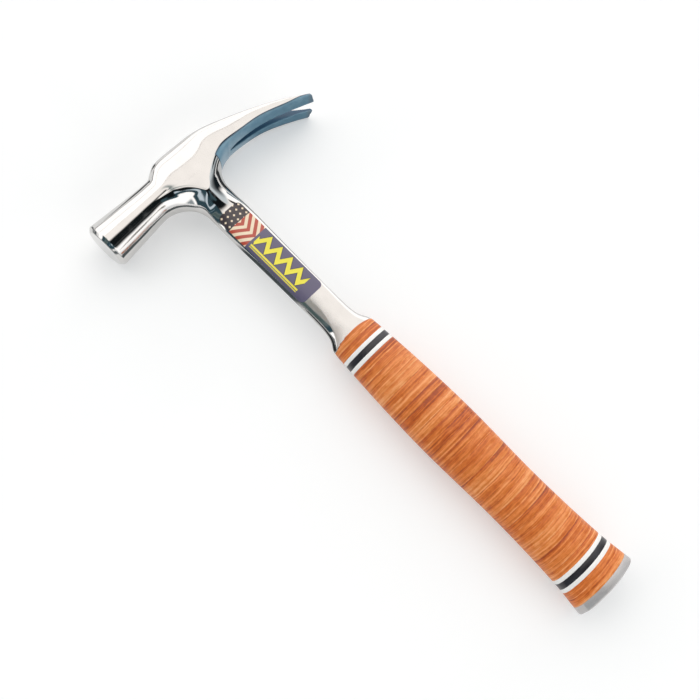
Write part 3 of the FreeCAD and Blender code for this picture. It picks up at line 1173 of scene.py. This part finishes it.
# Studio: white tent walls and dark gaps between them, at angles across (x) and along (y) the
# tent from straight overhead, in degrees: centre, half size and softness each way, and a grey
tent_white = seen(250, 249, 248)
tent_strength = 1.8
studio_cards = (
    # x, half, soft, y, half, soft, grey
    (-102.0, 22.0, 24.0, -20.0, 60.0, 30.0, (186, 190, 193)),
    (-62.0, 12.0, 10.0, 62.0, 14.0, 12.0, (128, 136, 140)),
    (6.0, 16.6, 1.2, -10.0, 44.0, 10.0, (230, 226, 222)),
    (-26.0, 24.0, 14.0, -50.0, 24.0, 8.0, (182, 190, 194)),
    (-52.0, 42.0, 20.0, -98.0, 41.0, 34.0, (16, 24, 28)),
    (-40.0, 8.0, 4.0, 12.0, 18.0, 8.0, (50, 68, 75)),
    (-6.0, 35.0, 5.0, 58.0, 44.0, 10.0, (42, 62, 70)),
    (8.0, 5.5, 7.0, 60.0, 62.0, 28.0, (130, 138, 138)),
    (8.0, 5.5, 7.0, 80.0, 62.0, 36.0, (68, 82, 82)),
    (-24.5, 4.5, 3.0, 44.0, 22.0, 8.0, (176, 188, 196)),
    (-10.0, 1.0, 2.5, 70.0, 26.0, 8.0, (110, 128, 140)),
    (-42.0, 8.0, 14.0, -18.0, 12.5, 6.0, (14, 18, 20)),
    (-23.0, 16.0, 9.0, -2.0, 24.0, 5.0, (14, 18, 20)),
    (-38.0, 8.0, 5.0, -3.0, 6.0, 5.0, (52, 70, 76)),
    (88.0, 9.0, 8.0, 32.0, 14.0, 10.0, (40, 42, 44)),
    (90.0, 5.0, 5.0, 0.0, 60.0, 20.0, (92, 90, 88)),
    (53.5, 0.55, 0.7, -10.0, 50.0, 10.0, (166, 154, 146)),
    (22.8, 0.25, 0.4, -10.0, 40.0, 6.0, (150, 138, 130)),
)

# Level cards beside and above the hammer, which only mirrors see, the last of them pale and the
# rest dark
dark_cards = (
    # x from and to, y from and to, height above the floor, softness of the edges, grey
    (198.0, 238.0, 12.0, 66.0, 0.4, 8.0, (24, 32, 36)),
    (230.0, 289.0, 5.0, 120.0, 0.4, 10.0, (78, 88, 92)),
    (228.0, 470.0, 104.0, 900.0, 0.4, 36.0, (86, 96, 100)),
    (258.0, 340.0, -190.0, -40.0, 0.4, 12.0, (24, 34, 38)),
    (374.0, 480.0, 54.0, 160.0, 0.4, 12.0, (60, 66, 68)),
    (376.0, 520.0, 4.0, 30.0, 0.4, 9.0, (40, 46, 48)),
    (303.0, 328.0, -55.0, -34.0, 59.0, 5.0, (18, 26, 30)),
    (194.0, 262.0, -13.0, 30.0, 59.0, 16.0, (236, 238, 236)),
)


def build_world():
    world = bpy.data.worlds.new("studio")
    scene.world = world
    world.use_nodes = True
    tree = world.node_tree
    coordinates = tree.nodes.new("ShaderNodeTexCoord")
    split = tree.nodes.new("ShaderNodeSeparateXYZ")
    tree.links.new(coordinates.outputs["Generated"], split.inputs[0])
    x, y, z = split.outputs
    tilt = times(tree, work(tree, "ARCCOSINE", z), 180 / math.pi)
    flat = work(tree, "SQRT", plus(tree, times(tree, x, x), times(tree, y, y)))
    reach = work(tree, "DIVIDE", tilt, work(tree, "MAXIMUM", flat, 0.0001))
    across, along = times(tree, x, reach), times(tree, y, reach)

    def inside(angle, centre, half, soft):
        return rise(tree, apart(tree, angle, centre), half + soft / 2, half - soft / 2)

    colour = tent_white
    for *x_way, y_centre, y_half, y_soft, grey in studio_cards:
        card = times(tree, inside(across, *x_way), inside(along, y_centre, y_half, y_soft))
        colour = blend_colour(tree, card, colour, seen(*grey))
    give(tree, tree.nodes["Background"], Color=colour, Strength=tent_strength)


def build_dark_cards():
    """Level cards that change what the steel mirrors and nothing else."""
    for number, (x_low, x_high, y_low, y_high, height, soft, grey) in enumerate(dark_cards):
        corners = [(x_low, y_low), (x_high, y_low), (x_high, y_high), (x_low, y_high)]
        level = height - hammer_origin.z / MM
        card = new_mesh(f"dark_card_{number}", [(x, y, level) for x, y in corners], [(0, 1, 2, 3)])
        material, tree, shader = new_material(f"dark_card_{number}")
        _, x, y, _ = places(tree)
        share = 1.0
        for value, edge, way in ((x, x_low, 1), (x, x_high, -1), (y, y_low, 1), (y, y_high, -1)):
            share = times(tree, share, rise(tree, value, edge, edge + way * soft))
        give(tree, shader, Base_Color=seen(*grey), Roughness=0.9, Alpha=share)
        card.data.materials.append(material)
        card.visible_camera = card.visible_diffuse = card.visible_shadow = False
        card.visible_transmission = card.visible_volume_scatter = False


build_world()
build_dark_cards()

scene.view_settings.view_transform = "Standard"
